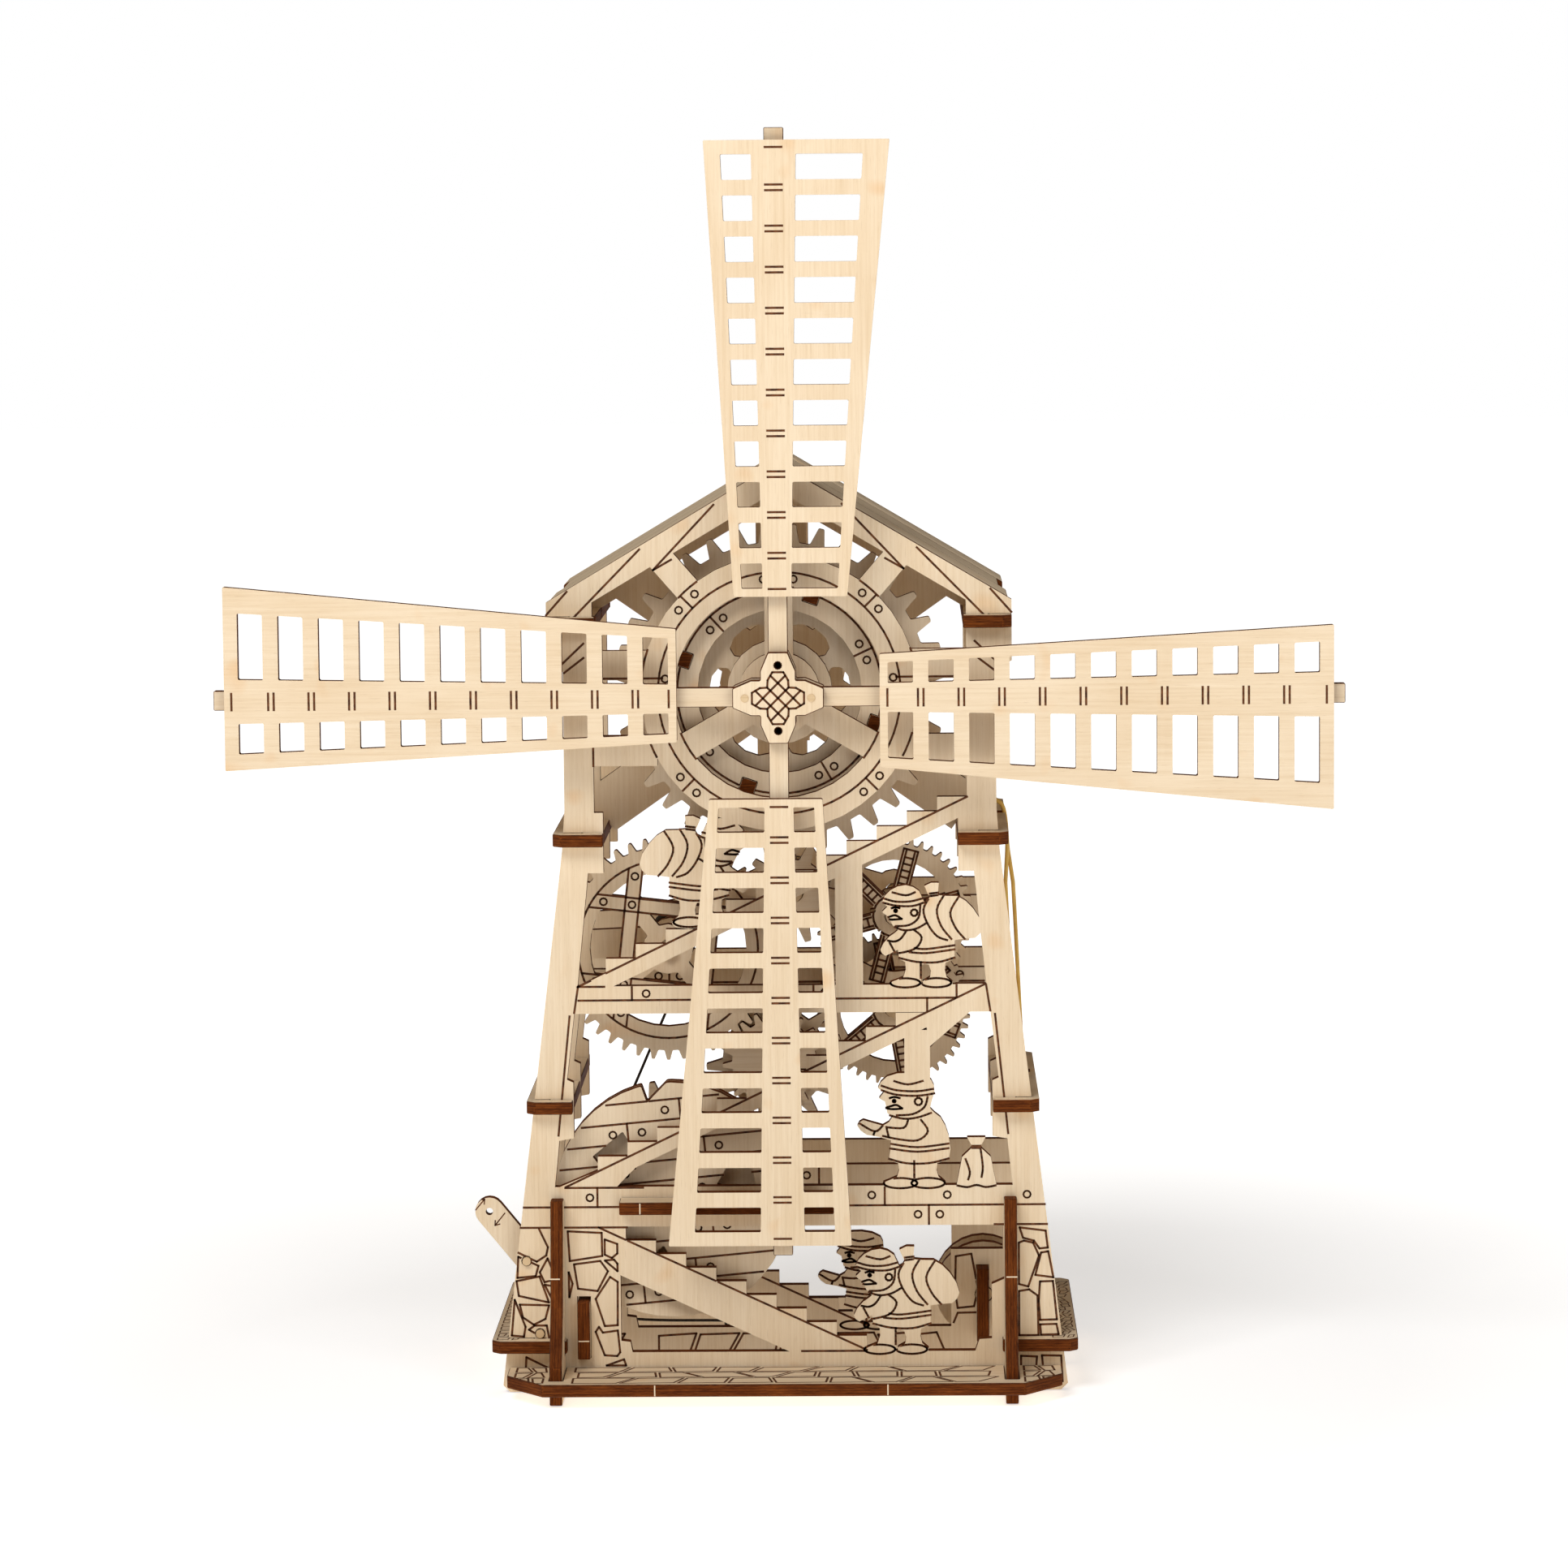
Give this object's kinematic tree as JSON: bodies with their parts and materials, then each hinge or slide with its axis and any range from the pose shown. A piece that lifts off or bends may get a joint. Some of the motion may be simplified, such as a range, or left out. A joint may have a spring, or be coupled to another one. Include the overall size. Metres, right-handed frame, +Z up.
{
  "type": "wooden mechanical windmill model",
  "caption": "Plywood windmill kit with turning sails, a gear train on wooden shafts, a stop wheel and lever, and a rubber-band drive in an open tower.",
  "frame": {"origin": "on the ground, in the middle of the box that the model fills", "axes": "+Z up, +Y from the sails towards the back, +X to the right seen from the sails"},
  "size_m": [0.2656, 0.0976, 0.3004],
  "materials": {
    "ply": "laser-cut birch plywood, bare, with burnt cut edges",
    "dowel": "bare birch dowel",
    "rubber": "natural amber rubber band",
    "thread": "thin dark cotton thread"
  },
  "bodies": {
    "tower": {"front_panel": "ply", "middle_panel": "ply", "back_panel": "ply", "base_ledge_right": "ply", "base_ledge_left": "ply", "lower_cornice_right": "ply", "lower_cornice_left": "ply", "upper_cornice_right": "ply", "upper_cornice_left": "ply", "eave_ledge_right": "ply", "eave_ledge_left": "ply", "roof_plank_1_right": "ply", "roof_plank_1_left": "ply", "roof_plank_2_right": "ply", "roof_plank_2_left": "ply", "roof_plank_3_right": "ply", "roof_plank_3_left": "ply", "front_deck": "ply", "front_fin_right": "ply", "front_fin_left": "ply", "front_shelf": "ply", "front_bracket": "ply", "inner_bracket": "ply", "lever_pivot": "dowel", "roller_axle": "dowel", "guide_peg": "dowel", "band_peg": "dowel", "pull_thread": "thread", "rubber_band": "rubber"},
    "sail_rotor": {"sail_1": "ply", "sail_2": "ply", "sail_3": "ply", "sail_4": "ply", "spar_upright": "ply", "spar_level": "ply", "hub_front": "ply", "hub_back": "ply", "sail_shaft": "dowel", "sail_gear": "ply", "brake_wheel": "ply", "inner_wheel": "ply"},
    "counter_rotor": {"counter_shaft": "dowel", "counter_pinion_large": "ply", "counter_pinion_medium": "ply", "counter_pinion_small": "ply"},
    "winding_rotor": {"winding_gear": "ply", "winding_shaft": "dowel", "thread_spool": "dowel"},
    "right_rotor": {"right_gear": "ply", "right_pinion_shaft": "ply"},
    "lower_rotor": {"lower_gear": "ply", "lower_shaft": "dowel"},
    "idler_rotor": {"idler_pinion_shaft": "ply", "idler_gear": "ply"},
    "stop_wheel": {"stop_wheel_front": "ply", "stop_wheel_back": "ply", "stop_gear_shaft": "ply"},
    "roller": {"guide_roller": "ply"},
    "lever": {"stop_lever": "ply"}
  },
  "joints": [
    {"name": "sail_spin", "type": "hinge", "parent": "tower", "child": "sail_rotor", "pos_m": [0, -0.01785, 0.1676], "axis": [0, 1, 0], "continuous": true},
    {"name": "counter_spin", "type": "hinge", "parent": "tower", "child": "counter_rotor", "pos_m": [0.0029, -0.01785, 0.11889], "axis": [0, 1, 0], "continuous": true},
    {"name": "winding_spin", "type": "hinge", "parent": "tower", "child": "winding_rotor", "pos_m": [-0.02755, -0.01785, 0.10494], "axis": [0, 1, 0], "continuous": true},
    {"name": "right_gear_spin", "type": "hinge", "parent": "tower", "child": "right_rotor", "pos_m": [0.02672, -0.01785, 0.11202], "axis": [0, 1, 0], "continuous": true},
    {"name": "lower_gear_spin", "type": "hinge", "parent": "tower", "child": "lower_rotor", "pos_m": [0.02647, -0.01785, 0.08877], "axis": [0, 1, 0], "continuous": true},
    {"name": "idler_spin", "type": "hinge", "parent": "tower", "child": "idler_rotor", "pos_m": [-0.00227, -0.01785, 0.0772], "axis": [0, 1, 0], "continuous": true},
    {"name": "stop_wheel_spin", "type": "hinge", "parent": "tower", "child": "stop_wheel", "pos_m": [-0.0268, -0.01785, 0.0456], "axis": [0, 1, 0], "continuous": true},
    {"name": "roller_spin", "type": "hinge", "parent": "tower", "child": "roller", "pos_m": [0.048, -0.01785, 0.0174], "axis": [0, 1, 0], "continuous": true},
    {"name": "stop_lever_turn", "type": "hinge", "parent": "tower", "child": "lever", "pos_m": [-0.0616, -0.01785, 0.0318], "axis": [0, 1, 0], "range_deg": [-14, 35]}
  ],
  "couplings": [
    {"joint": "counter_spin", "follows": "sail_spin", "ratio": -3.6},
    {"joint": "winding_spin", "follows": "sail_spin", "ratio": 1.04},
    {"joint": "right_gear_spin", "follows": "sail_spin", "ratio": 1.2522},
    {"joint": "lower_gear_spin", "follows": "sail_spin", "ratio": -0.36174},
    {"joint": "idler_spin", "follows": "sail_spin", "ratio": -2.34},
    {"joint": "stop_wheel_spin", "follows": "sail_spin", "ratio": 1.404}
  ]
}
